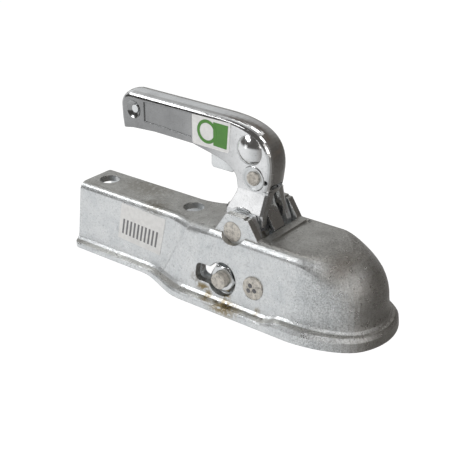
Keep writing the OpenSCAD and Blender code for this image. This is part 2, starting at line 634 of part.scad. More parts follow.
tip_in = grip_w / 2 - 2;
module tip_rivet() color(pin_colour) {
    cross(-tip_dimple[0], tip_dimple[1], -tip_in, tip_in, TIP_RIVET_R);
    for (s = [-1, 1]) cross(-tip_dimple[0], tip_dimple[1], s > 0 ? tip_in - EPS : -tip_in - 0.7,
        s > 0 ? tip_in + 0.7 : -tip_in + EPS, TIP_RIVET_R);
}
module catch_rivet() color(pin_colour) cross(catch_x, catch_h, -grip_w / 2 + 0.4, grip_w / 2 - 0.4, catch_rivet_d / 2);

// SAFETY CATCH

FOOT_LOW = roof_front_h - 3.4;
foot_x = -slot_front_x - 0.6;
web_in = -neck_front_x - 2.5 - grip_t - back_crown;
TAB_RISE = 13.2;
tab_top = tab_low_h + TAB_RISE;
module catch_side() difference() {
    polygon([[-tab_rear_x, tab_low_h + 1.4], [-tab_rear_x + 1.4, tab_low_h], [-tab_front_x, tab_low_h],
        [-tab_front_x + 3, tab_low_h + 5], [-catch_x - 9.3, catch_h + 3.6], [-catch_x - 5.3, catch_h - 5.4],
        [web_in - 3, catch_h - 12], [web_in - 0.6, catch_h - 12], [web_in + 0.8, catch_h + 3.6],
        [-catch_x + 5.2, catch_h + 8], [-catch_x + 1.2, tab_top], [-tab_rear_x, tab_top]]);
    translate([-catch_x, catch_h]) circle(catch_rivet_d / 2 + run_gap);
}
module safety_catch() color("slategray") {
    for (s = [-1, 1]) slab(s > 0 ? catch_w / 2 - catch_t : -catch_w / 2,
        s > 0 ? catch_w / 2 : -catch_w / 2 + catch_t) catch_side();
    // The finger plate closes the underside of the tab
    slab(-catch_w / 2, catch_w / 2) polygon([[-tab_rear_x, tab_low_h + 1.4], [-tab_rear_x + 1.4, tab_low_h],
        [-tab_front_x, tab_low_h], [-tab_front_x, tab_low_h + catch_t], [-tab_rear_x + 2, tab_low_h + catch_t]]);
    // The tongue runs down behind the web, then forward through the opening to the roof slot
    slab(-catch_w / 2, catch_w / 2) polygon([[web_in + 0.2, catch_h - 2.4], [web_in - 0.6, catch_h - 12],
        [web_in - 0.9, pivot_h + 12], [foot_x, FOOT_LOW + 3.5], [foot_x, FOOT_LOW], [foot_x - catch_t, FOOT_LOW],
        [foot_x - catch_t, FOOT_LOW + 3.5], [web_in - 0.9 - catch_t, pivot_h + 12],
        [web_in - 0.6 - catch_t, catch_h - 12], [web_in + 0.2 - catch_t, catch_h - 2.4]]);
}

// SPRINGS

// Points of a coil along Y about the place x behind the axis and the height h. It starts at the
// angle a0 and turns back through the angle a
function coil_points(x, h, r, pitch, a0, a, n) = [for (i = [0:n]) let (c = a0 - a * i / n)
    [-x + r * cos(c), pitch * (i / n - 0.5) * a / 360, h + r * sin(c)]];
// Sweeps a wire of the radius w along the points p
module wire(p, w, sides = 8) {
    n = len(p);
    function along(i) = let (d = p[min(i + 1, n - 1)] - p[max(i - 1, 0)]) d / norm(d);
    function across(i) = let (t = along(i), c = cross([0, 1, 0], t)) c / norm(c);
    loft([for (i = [0:n - 1]) let (u = across(i), v = cross(along(i), u))
        [for (j = [0:sides - 1]) let (a = 360 * j / sides) p[i] + w * (cos(a) * u - sin(a) * v)]]);
}
coil_r = pivot_d / 2 + spring_wire / 2 + 0.25;
// The closing spring: one leg lies behind the cam pin, the other bears up against the roof
module closing_spring() color("dimgray") {
    coil = coil_points(pivot_x, pivot_h, coil_r, spring_wire + 0.25, 180, 360 * spring_turns - 90, 44);
    tail = coil[len(coil) - 1];
    wire(concat([[-pivot_x - cam_pin_d / 2 - spring_wire / 2 - 0.5, coil[0][1], pivot_h - cam_arm - 4.5],
        [-pivot_x - cam_pin_d / 2 - spring_wire / 2 - 0.5, coil[0][1], pivot_h - cam_arm + 1],
        [-pivot_x - coil_r, coil[0][1], pivot_h - 5]], coil,
        [[-slot_rear_x - 5, tail[1], tail[2]]]), spring_wire / 2);
}
catch_coil_r = catch_rivet_d / 2 + catch_wire / 2 + 0.3;
module catch_spring() color("dimgray") {
    coil = coil_points(catch_x, catch_h, catch_coil_r, catch_wire + 0.2, 180, 360 * catch_turns - 180, 44);
    tail = coil[len(coil) - 1];
    wire(concat([[-catch_x - catch_coil_r, coil[0][1], catch_h - 5]], coil,
        [[tail[0], tail[1], catch_h - 5]]), catch_wire / 2, 6);
}

body_shell();
inner_plate_left();
inner_plate_right();
pivot_pin();
jaw_rivet();
jaw_spacer_left();
jaw_spacer_right();
cross_bolt();
hex_nut();
bolt_sleeve();
clamp_jaw();
handle_shell();
cam_pin();
tip_rivet();
catch_rivet();
safety_catch();
closing_spring();
catch_spring();
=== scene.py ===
"""Looks of a pressed-steel trailer coupling head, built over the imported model. All lengths are in metres."""
import math

import bpy
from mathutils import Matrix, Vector
from mathutils.bvhtree import BVHTree


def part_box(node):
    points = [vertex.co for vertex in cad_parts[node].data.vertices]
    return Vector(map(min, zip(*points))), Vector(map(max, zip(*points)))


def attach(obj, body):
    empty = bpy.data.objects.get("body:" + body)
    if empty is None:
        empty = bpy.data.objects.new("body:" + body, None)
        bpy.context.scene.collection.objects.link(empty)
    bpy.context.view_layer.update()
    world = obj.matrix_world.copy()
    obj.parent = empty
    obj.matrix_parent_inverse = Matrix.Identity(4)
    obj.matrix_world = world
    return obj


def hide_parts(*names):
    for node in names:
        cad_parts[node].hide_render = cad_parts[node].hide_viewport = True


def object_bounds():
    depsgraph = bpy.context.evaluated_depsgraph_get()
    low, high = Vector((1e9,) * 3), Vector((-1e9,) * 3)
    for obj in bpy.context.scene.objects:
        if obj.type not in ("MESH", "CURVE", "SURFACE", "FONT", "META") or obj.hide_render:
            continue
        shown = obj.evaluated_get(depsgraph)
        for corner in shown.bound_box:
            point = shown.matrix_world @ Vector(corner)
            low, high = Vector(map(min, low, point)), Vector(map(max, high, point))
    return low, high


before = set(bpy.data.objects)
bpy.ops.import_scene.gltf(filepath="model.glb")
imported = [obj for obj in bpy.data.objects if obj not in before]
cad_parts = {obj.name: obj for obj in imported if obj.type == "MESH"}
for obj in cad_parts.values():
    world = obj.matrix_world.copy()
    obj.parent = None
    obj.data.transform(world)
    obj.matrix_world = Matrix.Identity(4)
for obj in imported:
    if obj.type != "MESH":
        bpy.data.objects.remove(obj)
CAD_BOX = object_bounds()
MM = 0.001

# Camera and stage

CAMERA_AT = Vector((254.5, -431.7, 300.2)) * MM
TO_CAMERA = Vector((0.5496, -0.7119, 0.4371)).normalized()
LENS_MM = 77.0


def add_camera():
    data = bpy.data.cameras.new("camera")
    data.lens = LENS_MM
    data.sensor_width = 36.0
    data.clip_start = 0.01
    camera = bpy.data.objects.new("camera", data)
    bpy.context.scene.collection.objects.link(camera)
    camera.location = CAMERA_AT
    camera.rotation_euler = (-TO_CAMERA).to_track_quat("-Z", "Y").to_euler()
    bpy.context.scene.camera = camera


def add_area(name, direction, distance, size, power, colour=(1, 1, 1), aim=(-0.07, 0, 0.04), size_y=None):
    data = bpy.data.lights.new(name, "AREA")
    data.energy = power
    data.color = colour
    data.size = size
    if size_y:
        data.shape = "RECTANGLE"
        data.size_y = size_y
    lamp = bpy.data.objects.new(name, data)
    bpy.context.scene.collection.objects.link(lamp)
    way = Vector(direction).normalized()
    lamp.location = Vector(aim) + way * distance
    lamp.rotation_euler = (-way).to_track_quat("-Z", "Y").to_euler()
    return lamp


def ramp(tree, stops, source, interpolation="LINEAR"):
    node = tree.nodes.new("ShaderNodeValToRGB")
    node.color_ramp.interpolation = interpolation
    while len(node.color_ramp.elements) < len(stops):
        node.color_ramp.elements.new(0.5)
    for element, (at, colour) in zip(node.color_ramp.elements, stops):
        element.position = at
        element.color = (*colour, 1) if isinstance(colour, tuple) else (colour, colour, colour, 1)
    tree.links.new(source, node.inputs[0])
    return node.outputs[0]


CARD_BROWN = (0.105, 0.085, 0.07, 1)
ROOM_DARK = (0.085, 0.08, 0.075, 1)


def math_node(tree, operation, a, b, c=None):
    """A math node; a is a socket, and b and c are numbers or sockets."""
    node = tree.nodes.new("ShaderNodeMath")
    node.operation = operation
    tree.links.new(a, node.inputs[0])
    for i, value in ((1, b), (2, c)):
        if isinstance(value, float):
            node.inputs[i].default_value = value
        elif value is not None:
            tree.links.new(value, node.inputs[i])
    return node.outputs[0]


def blend_to(tree, factor, under, colour):
    """The colour under, changed to one flat colour by the factor."""
    node = tree.nodes.new("ShaderNodeMix")
    node.data_type = "RGBA"
    node.inputs[7].default_value = colour
    tree.links.new(factor, node.inputs[0])
    tree.links.new(under, node.inputs[6])
    return node.outputs[2]


def background(tree, strength):
    node = tree.nodes.new("ShaderNodeBackground")
    node.inputs["Strength"].default_value = strength
    return node


def add_world():
    """A room that is bright to the rear and near side, brown beyond the object and white to the camera."""
    world = bpy.data.worlds.new("studio")
    bpy.context.scene.world = world
    world.use_nodes = True
    tree = world.node_tree
    tree.nodes.clear()
    out = tree.nodes.new("ShaderNodeOutputWorld")
    coord = tree.nodes.new("ShaderNodeTexCoord")
    dot = tree.nodes.new("ShaderNodeVectorMath")
    dot.operation = "DOT_PRODUCT"
    dot.inputs[1].default_value = Vector((-0.87, -0.49, 0.0)).normalized()
    tree.links.new(coord.outputs["Generated"], dot.inputs[0])
    half = math_node(tree, "MULTIPLY_ADD", dot.outputs["Value"], 0.5, 0.5)
    sky = ramp(tree, [(0.0, (0.07, 0.062, 0.055)), (0.18, (0.14, 0.132, 0.12)), (0.42, (0.42, 0.41, 0.40)),
                      (0.60, (0.64, 0.65, 0.65)), (0.95, (1.0, 1.0, 1.0))], half)
    axes = tree.nodes.new("ShaderNodeSeparateXYZ")
    tree.links.new(coord.outputs["Generated"], axes.inputs[0])
    # Beyond the object, the ceiling and a low card are dark brown
    beyond = ramp(tree, [(0.10, 0.0), (0.35, 1.0)], axes.outputs[1])
    bands = ramp(tree, [(0.0, 0.0), (0.03, 0.85), (0.13, 0.85), (0.20, 0.0), (0.58, 0.0), (0.74, 0.9)],
                 axes.outputs[2])
    sky = blend_to(tree, math_node(tree, "MULTIPLY", beyond, bands), sky, CARD_BROWN)
    # On the camera's side the room is dark above the horizon, between the lamps
    above = ramp(tree, [(0.0, 0.0), (0.10, 1.0)], axes.outputs[2])
    nearer = math_node(tree, "MULTIPLY_ADD", axes.outputs[1], -1.0, 0.12)
    ahead = ramp(tree, [(0.0, 0.0), (0.35, 1.0)], nearer)
    sky = blend_to(tree, math_node(tree, "MULTIPLY", above, ahead), sky, ROOM_DARK)
    light = background(tree, 0.98)
    tree.links.new(sky, light.inputs["Color"])
    white = background(tree, 1.0)
    white.inputs["Color"].default_value = (1, 1, 1, 1)
    path = tree.nodes.new("ShaderNodeLightPath")
    mix = tree.nodes.new("ShaderNodeMixShader")
    tree.links.new(path.outputs["Is Camera Ray"], mix.inputs[0])
    tree.links.new(light.outputs[0], mix.inputs[1])
    tree.links.new(white.outputs[0], mix.inputs[2])
    tree.links.new(mix.outputs[0], out.inputs[0])


def add_floor():
    mesh = bpy.data.meshes.new("floor")
    side = 4.0
    corners = [(-side, -side, 0), (side, -side, 0), (side, side, 0), (-side, side, 0)]
    mesh.from_pydata(corners, [], [(0, 1, 2, 3)])
    floor = bpy.data.objects.new("floor", mesh)
    bpy.context.scene.collection.objects.link(floor)
    floor.location.z = CAD_BOX[0][2] - 0.0002
    material = bpy.data.materials.new("floor")
    material.use_nodes = True
    tree = material.node_tree
    shader = tree.nodes["Principled BSDF"]
    noise = tree.nodes.new("ShaderNodeTexNoise")
    noise.inputs["Scale"].default_value = 3.0
    tree.links.new(ramp(tree, [(0.3, 0.20), (0.7, 0.22)], noise.outputs[0]), shader.inputs["Base Color"])
    shader.inputs["Roughness"].default_value = 0.9
    shader.inputs["Specular IOR Level"].default_value = 0.0
    shader.inputs["Emission Color"].default_value = (1, 1, 1, 1)
    shader.inputs["Emission Strength"].default_value = 0.97
    mesh.materials.append(material)
    floor.visible_glossy = False


# Materials

class Nodes:
    """Short hand for building one procedural material."""

    def __init__(self, name):
        self.material = bpy.data.materials.new(name)
        self.material.use_nodes = True
        self.tree = self.material.node_tree
        self.shader = self.tree.nodes["Principled BSDF"]
        self.coord = self.tree.nodes.new("ShaderNodeTexCoord").outputs["Object"]
        self.geometry = self.tree.nodes.new("ShaderNodeNewGeometry")

    def link(self, source, target):
        self.tree.links.new(source, target)

    def put(self, socket, value):
        self.shader.inputs[socket].default_value = value

    def noise(self, scale, detail=3.0, rough=0.55, stretch=None, distortion=0.0):
        node = self.tree.nodes.new("ShaderNodeTexNoise")
        node.inputs["Scale"].default_value = scale
        node.inputs["Detail"].default_value = detail
        node.inputs["Roughness"].default_value = rough
        node.inputs["Distortion"].default_value = distortion
        source = self.coord
        if stretch:
            mapping = self.tree.nodes.new("ShaderNodeMapping")
            mapping.inputs["Scale"].default_value = stretch
            self.link(source, mapping.inputs["Vector"])
            source = mapping.outputs[0]
        self.link(source, node.inputs["Vector"])
        return node.outputs[0]

    def ramp(self, source, stops, interpolation="LINEAR"):
        return ramp(self.tree, stops, source, interpolation)

    def math(self, operation, a, b=None, c=None, clamp=False):
        node = self.tree.nodes.new("ShaderNodeMath")
        node.operation = operation
        node.use_clamp = clamp
        for i, value in enumerate((a, b, c)):
            if value is None:
                continue
            if isinstance(value, (int, float)):
                node.inputs[i].default_value = value
            else:
                self.link(value, node.inputs[i])
        return node.outputs[0]

    def mix(self, factor, a, b, blend="MIX"):
        node = self.tree.nodes.new("ShaderNodeMix")
        node.data_type = "RGBA"
        node.blend_type = blend
        for i, value in ((0, factor), (6, a), (7, b)):
            if isinstance(value, tuple):
                node.inputs[i].default_value = (*value, 1)
            elif isinstance(value, (int, float)):
                node.inputs[i].default_value = value
            else:
                self.link(value, node.inputs[i])
        return node.outputs[2]

    def near(self, at_mm, radius_mm, soft=0.6, stretch=(1, 1, 1)):
        """1 close to a point and 0 beyond the radius."""
        mapping = self.tree.nodes.new("ShaderNodeMapping")
        mapping.inputs["Location"].default_value = tuple(-a * MM * s for a, s in zip(at_mm, stretch))
        mapping.inputs["Scale"].default_value = stretch
        self.link(self.coord, mapping.inputs["Vector"])
        length = self.tree.nodes.new("ShaderNodeVectorMath")
        length.operation = "LENGTH"
        self.link(mapping.outputs[0], length.inputs[0])
        span = self.tree.nodes.new("ShaderNodeMapRange")
        span.interpolation_type = "SMOOTHSTEP"
        span.inputs["From Min"].default_value = radius_mm * MM * (1 - soft)
        span.inputs["From Max"].default_value = radius_mm * MM
        span.inputs["To Min"].default_value = 1.0
        span.inputs["To Max"].default_value = 0.0
        self.link(length.outputs["Value"], span.inputs["Value"])
        return span.outputs[0]

    def axis(self, which):
        node = self.tree.nodes.new("ShaderNodeSeparateXYZ")
        self.link(self.coord, node.inputs[0])
        return node.outputs["XYZ".index(which)]

    def normal(self, which):
        node = self.tree.nodes.new("ShaderNodeSeparateXYZ")
        self.link(self.geometry.outputs["Normal"], node.inputs[0])
        return node.outputs["XYZ".index(which)]

    def bevel(self, radius_mm):
        node = self.tree.nodes.new("ShaderNodeBevel")
        node.samples = 4
        node.inputs["Radius"].default_value = radius_mm * MM
        return node.outputs[0]

    def edge_shade(self, radius_mm, darkest):
        """1 on open faces, less along sharp edges."""
        dot = self.tree.nodes.new("ShaderNodeVectorMath")
        dot.operation = "DOT_PRODUCT"
        self.link(self.geometry.outputs["Normal"], dot.inputs[0])
        self.link(self.bevel(radius_mm), dot.inputs[1])
        return self.ramp(dot.outputs["Value"], [(0.74, darkest), (0.97, 1.0)])

    def bump(self, height, strength, distance_mm, normal=None):
        node = self.tree.nodes.new("ShaderNodeBump")
        node.inputs["Strength"].default_value = strength
        node.inputs["Distance"].default_value = distance_mm * MM
        self.link(height, node.inputs["Height"])
        if normal is not None:
            self.link(normal, node.inputs["Normal"])
        self.link(node.outputs[0], self.shader.inputs["Normal"])
        return node.outputs[0]


def galvanised(name, stains_and_shade=(), outside=True):
    """Hot-dip zinc: fine grain, dark pits, and the listed marks (stains, or a painted shadow); on the outside
    also a darker brownish top, partly dust and partly painted shade, a painted shade on the dome under the
    panel's front edge, a speckled dome, and painted shade on faces that look along +X.
    """
    n = Nodes(name)
    mottle = n.noise(90, 5, 0.68)
    grain = n.noise(780, 3, 0.6)
    base = n.ramp(mottle, [(0.30, (0.60, 0.625, 0.64)), (0.5, (0.68, 0.70, 0.71)),
                           (0.7, (0.74, 0.755, 0.76))])
    base = n.mix(0.6, base, n.ramp(grain, [(0.33, 0.66), (0.48, 0.95), (0.62, 1.0)]), "MULTIPLY")
    pits = n.ramp(n.noise(560, 2, 0.6), [(0.25, 0.35), (0.33, 1.0)])
    base = n.mix(0.6, base, pits, "MULTIPLY")
    if outside:
        # Faces that look up get a darker brownish colour: partly dust, partly painted shade.
        up = n.math("MULTIPLY", n.ramp(n.normal("Z"), [(0.72, 0.0), (0.93, 1.0)]), 0.85)
        top = n.ramp(mottle, [(0.3, (0.36, 0.35, 0.325)), (0.62, (0.50, 0.495, 0.47)),
                              (0.8, (0.60, 0.60, 0.58))])
        top = n.mix(0.7, top, n.ramp(grain, [(0.35, 0.6), (0.5, 1.0)]), "MULTIPLY")
        base = n.mix(up, base, top)
        shade = n.math("MULTIPLY", n.near((8, -10, 41), 19, 0.9, (1.3, 0.8, 1.8)), 0.85)
        base = n.mix(shade, base, (0.17, 0.145, 0.12))
        ball_end = n.ramp(n.math("MULTIPLY_ADD", n.axis("X"), 12.0, 0.5), [(0.2, 0.0), (0.5, 1.0)])
        speckle = n.ramp(n.noise(1100, 3, 0.7), [(0.36, 0.62), (0.5, 0.95), (0.62, 1.15)])
        base = n.mix(ball_end, base, n.mix(1.0, base, speckle, "MULTIPLY"))
        # Painted shade: faces that look along +X are blended towards dark brown.
        painted_side_shade = n.math("MULTIPLY", n.ramp(n.normal("X"), [(0.35, 0.0), (0.85, 1.0)]), 0.6)
        base = n.mix(painted_side_shade, base, (0.30, 0.28, 0.25))
    # Listed marks blended into the colour: real stains on the sheet, and a painted shadow on the inner plates.
    for at, radius, colour, power, stretch in stains_and_shade:
        patchy = n.ramp(n.noise(500, 4), [(0.38, 0.0), (0.52, 1.0)])
        spread = n.math("MULTIPLY", n.near(at, radius, 0.8, stretch), patchy)
        base = n.mix(n.math("MULTIPLY", spread, power), base, colour)
    n.link(base, n.shader.inputs["Base Color"])
    n.put("Metallic", 0.86)
    n.link(n.ramp(n.noise(240, 3), [(0.3, 0.25), (0.7, 0.36)]), n.shader.inputs["Roughness"])

    fine = n.mix(0.6, n.noise(1500, 3, 0.6), n.noise(420, 3, 0.6))
    if outside:
        dome = n.ramp(n.math("MULTIPLY_ADD", n.axis("X"), 12.0, 0.5), [(0.25, 0.0), (0.6, 0.85)])
        coarse = n.ramp(n.noise(1100, 4, 0.75), [(0.25, 0.0), (0.75, 1.6)])
        fine = n.mix(dome, fine, coarse)
    n.bump(fine, 0.5, 0.30, n.bevel(0.7))
    return n.material


def zinc(name, colour=(0.78, 0.79, 0.80), rough=(0.10, 0.20), bump=0.10, wave=45, metal=0.97, shade=None):
    """Bright zinc plate over smooth sheet."""
    n = Nodes(name)
    dark = tuple(c * 0.82 for c in colour)
    base = n.ramp(n.noise(70, 4, 0.6), [(0.3, dark), (0.62, colour)])
    base = n.mix(0.35, base, n.ramp(n.noise(900, 2), [(0.3, 0.6), (0.42, 1.0)]), "MULTIPLY")
    if shade:
        along = n.ramp(n.math("MULTIPLY", n.axis("X"), -5.0), shade)
        flat = n.ramp(n.math("ABSOLUTE", n.normal("Y")), [(0.6, 0.0), (0.95, 1.0)])
        base = n.mix(flat, base, n.mix(1.0, base, along, "MULTIPLY"))
    base = n.mix(1.0, base, n.edge_shade(0.45, 0.3), "MULTIPLY")
    n.link(base, n.shader.inputs["Base Color"])
    n.put("Metallic", metal)
    n.link(n.ramp(n.noise(130, 3), [(0.3, rough[0]), (0.7, rough[1])]), n.shader.inputs["Roughness"])
    n.bump(n.mix(0.3, n.noise(wave, 2, 0.4), n.noise(700, 3, 0.6)), bump, 0.6, n.bevel(0.5))
    return n.material


def paper(name, colour):
    n = Nodes(name)
    dark = tuple(c * 0.9 for c in colour)
    n.link(n.ramp(n.noise(300, 3), [(0.35, dark), (0.6, colour)]), n.shader.inputs["Base Color"])
    n.link(n.ramp(n.noise(150, 2), [(0.3, 0.30), (0.7, 0.42)]), n.shader.inputs["Roughness"])
    n.put("Coat Weight", 0.3)
    n.bump(n.noise(120, 2), 0.12, 0.2)
    return n.material


def cast_grey(name, colour, rough=0.55):
    n = Nodes(name)
    dark = tuple(c * 0.5 for c in colour)
    bright = tuple(min(1, c * 1.25) for c in colour)
    base = n.ramp(n.noise(430, 4, 0.7), [(0.34, dark), (0.5, colour), (0.68, bright)])
    n.link(base, n.shader.inputs["Base Color"])
    n.put("Metallic", 0.55)
    n.link(n.ramp(n.noise(500, 3), [(0.3, rough - 0.12), (0.7, rough + 0.1)]), n.shader.inputs["Roughness"])
    n.bump(n.noise(650, 4, 0.6), 0.3, 0.25, n.bevel(0.5))
    return n.material


def oiled(name, colour):
    n = Nodes(name)
    base = n.ramp(n.noise(160, 4, 0.6), [(0.3, tuple(c * 0.55 for c in colour)), (0.66, colour)])
    n.link(base, n.shader.inputs["Base Color"])
    n.put("Metallic", 0.85)
    n.link(n.ramp(n.noise(220, 3), [(0.3, 0.22), (0.7, 0.42)]), n.shader.inputs["Roughness"])
    n.bump(n.noise(400, 3, 0.6), 0.15, 0.3)
    return n.material


def set_material(node, material):
    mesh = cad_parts[node].data
    mesh.materials.clear()
    mesh.materials.append(material)


RUST = (0.20, 0.135, 0.03)
OIL = (0.15, 0.125, 0.08)
ROUND = (1, 1, 1)
SIDE = (1, 0.25, 1)
# Place and radius in mm, colour, power, and how the distance is stretched along each axis
STAINS = [
    ((-58.6, -28, 23.5), 3.8, RUST, 1.0, SIDE), ((-58.2, -28, 9.4), 4.6, RUST, 1.0, SIDE),
    ((-76, -28, 10.0), 5.0, RUST, 0.9, (0.6, 0.25, 1.4)), ((-71.0, -28, 6.4), 4.2, RUST, 0.85, SIDE),
    ((-56, -33, 3.4), 12, RUST, 0.95, (0.7, 1, 2.2)), ((-35, -33, 8), 4.0, RUST, 0.8, ROUND),
    ((-82, -28, 14), 6, OIL, 0.5, SIDE), ((-150, 4, 41), 30, OIL, 0.45, (1, 1.7, 1)),
    ((-128, -12, 41), 14, OIL, 0.5, (1, 1.2, 1)), ((-60, -20, 41), 8, OIL, 0.3, ROUND)]

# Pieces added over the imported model

def add_piece(name, vertices, faces, material, body, smooth=False):
    mesh = bpy.data.meshes.new(name)
    mesh.from_pydata([tuple(v) for v in vertices], [], faces)
    mesh.update()
    piece = bpy.data.objects.new(name, mesh)
    bpy.context.scene.collection.objects.link(piece)
    mesh.materials.append(material)
    for face in mesh.polygons:
        face.use_smooth = smooth
    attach(piece, body)
    return piece


def flat_label(name, corners_mm, side_y, lift, material, body, thick=0.12, corner=1.2):
    """A thin sheet with round corners on a face that looks towards -Y; corners are x and z in turn."""
    outline = []
    count = len(corners_mm)
    for i, here in enumerate(corners_mm):
        before, after = Vector(corners_mm[i - 1]), Vector(corners_mm[(i + 1) % count])
        here = Vector(here)
        start = here + (before - here).normalized() * corner
        end = here + (after - here).normalized() * corner
        for k in range(5):
            t = k / 4
            outline.append(start * (1 - t) ** 2 + here * 2 * t * (1 - t) + end * t * t)
    n = len(outline)
    near, far = side_y - lift - thick, side_y - lift
    vertices = [Vector((p[0], y, p[1])) * MM for y in (near, far) for p in outline]
    faces = [tuple(range(n)), tuple(range(2 * n - 1, n - 1, -1))]
    faces += [(i, i + n, (i + 1) % n + n, (i + 1) % n) for i in range(n)]
    return add_piece(name, vertices, faces, material, body)


def ring_label(name, centre, inner, outer, side_y, lift, material, body, thick=0.08):
    """A flat ring, or a disc where inner is 0, on a face that looks towards -Y."""
    steps = 48
    radii = (inner, outer)
    vertices = [Vector((centre[0] + r * math.cos(2 * math.pi * i / steps), y,
                        centre[1] + r * math.sin(2 * math.pi * i / steps))) * MM
                for y in (side_y - lift - thick, side_y - lift) for r in radii for i in range(steps)]
    faces = []
    for i in range(steps):
        j = (i + 1) % steps
        a, b, c, d = i, steps + i, 2 * steps + i, 3 * steps + i
        a2, b2, c2, d2 = j, steps + j, 2 * steps + j, 3 * steps + j
        faces += [(a, b, b2, a2), (c, c2, d2, d), (b, d, d2, b2), (a, a2, c2, c)]
    return add_piece(name, vertices, faces, material, body)


def surface_finder(node):
    """A ray caster on a CAD node's mesh."""
    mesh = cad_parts[node].data
    points = [v.co.copy() for v in mesh.vertices]
    tree = BVHTree.FromPolygons(points, [tuple(p.vertices) for p in mesh.polygons])

    def hit(start, way):
        place, normal, _, _ = tree.ray_cast(start, way)
        return place, normal
    return hit


LAP_X = -95.0
LAP_LEAN = 0.51
LAP_ROOF = 0.45
# Distance ahead of the lap's edge, and height over the surface, in mm
LAP_STRIP = ((-0.7, -0.2), (0.0, 1.15), (0.0, 1.15), (0.5, 1.4), (2.0, 1.25), (7.0, 0.7), (14.0, -0.2))


def lap_rays(side):
    """Where to look for the surface: up the side, round the shoulder, then in along the roof."""
    rays = [((side * 60, z), (-side, 0)) for z in (6.5, 8, 10, 12, 14, 16, 18, 20, 22, 24, 26, 28, 30, 32)]
    for degrees in range(0, 91, 9):
        c, s = math.cos(math.radians(degrees)), math.sin(math.radians(degrees))
        rays.append(((side * (16 + 40 * c), 33.5 + 40 * s), (-side * c, -s)))
    rays += [((side * y, 80), (0, -1)) for y in (14, 12, 10, 8, 6)]
    return rays


def add_lap_edge(material, shadow_material):
    """The rear edge of the thicker front part of the pressing, standing proud of the rear box; its rearward
    wall takes the dark material, a painted shadow line along the step.
    """
    hit = surface_finder("body_shell")
    for name, side in (("lap_edge_right", -1), ("lap_edge_left", 1)):
        rows = []
        for (y0, z0), (wy, wz) in lap_rays(side):
            row = []
            for ahead, height in LAP_STRIP:
                x = LAP_X + ahead
                for _ in range(7):
                    place, normal = hit(Vector((x, y0, z0)) * MM, Vector((0, wy, wz)))
                    if place is None:
                        break
                    y, z = abs(place.y) / MM, place.z / MM
                    x = LAP_X - LAP_LEAN * (40.5 - z) + LAP_ROOF * max(0.0, 19.0 - y) + ahead
                if place is None:
                    break
                row.append(place + normal * height * MM)
            if len(row) == len(LAP_STRIP):
                rows.append(row)
        width = len(LAP_STRIP)
        vertices = [p for row in rows for p in row]
        # The wall takes the dark material: a painted shadow line along the step.
        for part, columns, look in (("wall", (0,), shadow_material), ("skin", range(2, width - 1), material)):
            faces = [(i * width + k, i * width + k + 1, (i + 1) * width + k + 1, (i + 1) * width + k)
                     for i in range(len(rows) - 1) for k in columns]
            if side < 0:
                faces = [tuple(reversed(f)) for f in faces]
            used = sorted({v for f in faces for v in f})
            number = {v: i for i, v in enumerate(used)}
            faces = [tuple(number[v] for v in f) for f in faces]
            add_piece(f"{name}_{part}", [vertices[v] for v in used], faces, look, "head",
                      True)


def draped_label(name, corners_mm, lift, material, body, node, thick=0.12, across=16, up=10):
    """A thin label that follows a node's side; corners: top rear, low rear, low front, top front."""
    hit = surface_finder(node)
    tr, lr, lf, tf = (Vector(c) for c in corners_mm)
    layers = []
    for out in (lift + thick, lift):
        layer = []
        for j in range(up + 1):
            for i in range(across + 1):
                s, t = i / across, j / up
                p = (tr * (1 - s) + tf * s) * (1 - t) + (lr * (1 - s) + lf * s) * t
                place, normal = hit(Vector((p[0], -60, p[1])) * MM, Vector((0, 1, 0)))
                layer.append(place + normal * out * MM)
        layers.append(layer)
    n = len(layers[0])
    vertices = layers[0] + layers[1]
    row = across + 1
    faces = []
    for j in range(up):
        for i in range(across):
            a = j * row + i
            faces.append((a, a + row, a + row + 1, a + 1))
            faces.append((a + n, a + 1 + n, a + row + 1 + n, a + row + n))
    rim = ([i for i in range(row)] + [j * row + across for j in range(1, up + 1)]
           + [up * row + i for i in range(across - 1, -1, -1)] + [j * row for j in range(up - 1, 0, -1)])
    for a, b in zip(rim, rim[1:] + rim[:1]):
        faces.append((a, b, b + n, a + n))
    return add_piece(name, vertices, faces, material, body)


def revolve(profile, steps=48):
    """Vertices and faces of a profile of (y, radius) turned round the Y axis."""
    vertices = [Vector((r * math.cos(2 * math.pi * i / steps), y, r * math.sin(2 * math.pi * i / steps)))
                for y, r in profile for i in range(steps)]
    faces = []
    for k in range(len(profile) - 1):
        low, high = k * steps, (k + 1) * steps
        faces += [(low + i, low + (i + 1) % steps, high + (i + 1) % steps, high + i) for i in range(steps)]
    return vertices, faces


NUT_BORE_R = 5.35


def add_nut(material):
    """The nut with its corners turned off and an open bore, in place of the plain one."""
    low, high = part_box("hex_nut")
    middle = (Vector(low) + Vector(high)) / 2
    half = (high[1] - low[1]) / 2
    corner = (high[0] - low[0]) / 2
    steps = 72
    across = corner * math.cos(math.pi / 6)
    bore = NUT_BORE_R * MM

    def hex_radius(angle, limit):
        return min(across / math.cos((angle + math.pi / 6) % (math.pi / 3) - math.pi / 6), limit)

    turned = 0.0 if high[0] - low[0] >= high[2] - low[2] else math.pi / 6
    if turned:
        corner = (high[2] - low[2]) / 2
        across = corner * math.cos(math.pi / 6)
    rings = [(-half, bore), (-half, across * 0.93), (-half * 0.80, across * 1.04), (-half * 0.62, corner),
             (half * 0.62, corner), (half * 0.80, across * 1.04), (half, across * 0.93), (half, bore)]
    vertices = []
    for y, limit in rings:
        for i in range(steps):
            angle = 2 * math.pi * i / steps
            r = limit if limit <= across else hex_radius(angle - turned, limit)
            vertices.append(middle + Vector((r * math.cos(angle), y, r * math.sin(angle))))
    count = len(rings)
    faces = [(k * steps + i, k * steps + (i + 1) % steps, ((k + 1) % count) * steps + (i + 1) % steps,
              ((k + 1) % count) * steps + i) for k in range(count) for i in range(steps)]
    faces = [tuple(reversed(f)) for f in faces]
    nut = add_piece("hex_nut_turned", vertices, faces, material, "head")
    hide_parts("hex_nut")


